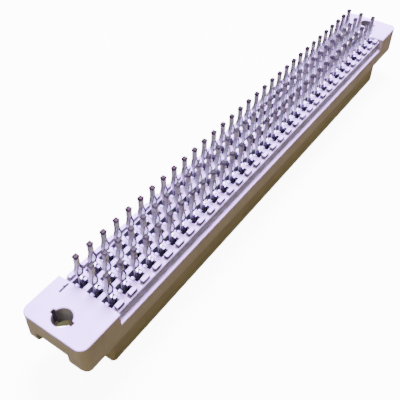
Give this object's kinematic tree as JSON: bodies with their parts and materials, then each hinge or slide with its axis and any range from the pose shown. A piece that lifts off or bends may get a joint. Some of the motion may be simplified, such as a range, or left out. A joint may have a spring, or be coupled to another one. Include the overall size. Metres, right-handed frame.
{
  "type": "backplane connector",
  "caption": "Long multi-row female backplane connector: moulded housing with keyed screw flanges, nut slots and a narrower mating plug, and press-fit eye tails standing on its board side.",
  "frame": {"origin": "centre of the bounding box at the mating face, under the middle contact row", "axes": "+X along the contact rows, with the pin-one mark at the -X end; +Y across the rows, towards the first row; +Z from the mating face to the board side and the tails"},
  "size_m": [0.095, 0.0104, 0.015],
  "materials": {
    "housing_plastic": "matte light grey-beige glass-filled thermoplastic",
    "contact_metal": "copper alloy strip with matte tin plating"
  },
  "bodies": {
    "root": {"housing": "housing_plastic", "contact_column_01": "contact_metal", "contact_column_02": "contact_metal", "contact_column_03": "contact_metal", "contact_column_04": "contact_metal", "contact_column_05": "contact_metal", "contact_column_06": "contact_metal", "contact_column_07": "contact_metal", "contact_column_08": "contact_metal", "contact_column_09": "contact_metal", "contact_column_10": "contact_metal", "contact_column_11": "contact_metal", "contact_column_12": "contact_metal", "contact_column_13": "contact_metal", "contact_column_14": "contact_metal", "contact_column_15": "contact_metal", "contact_column_16": "contact_metal", "contact_column_17": "contact_metal", "contact_column_18": "contact_metal", "contact_column_19": "contact_metal", "contact_column_20": "contact_metal", "contact_column_21": "contact_metal", "contact_column_22": "contact_metal", "contact_column_23": "contact_metal", "contact_column_24": "contact_metal", "contact_column_25": "contact_metal", "contact_column_26": "contact_metal", "contact_column_27": "contact_metal", "contact_column_28": "contact_metal", "contact_column_29": "contact_metal", "contact_column_30": "contact_metal", "contact_column_31": "contact_metal", "contact_column_32": "contact_metal"}
  },
  "joints": []
}
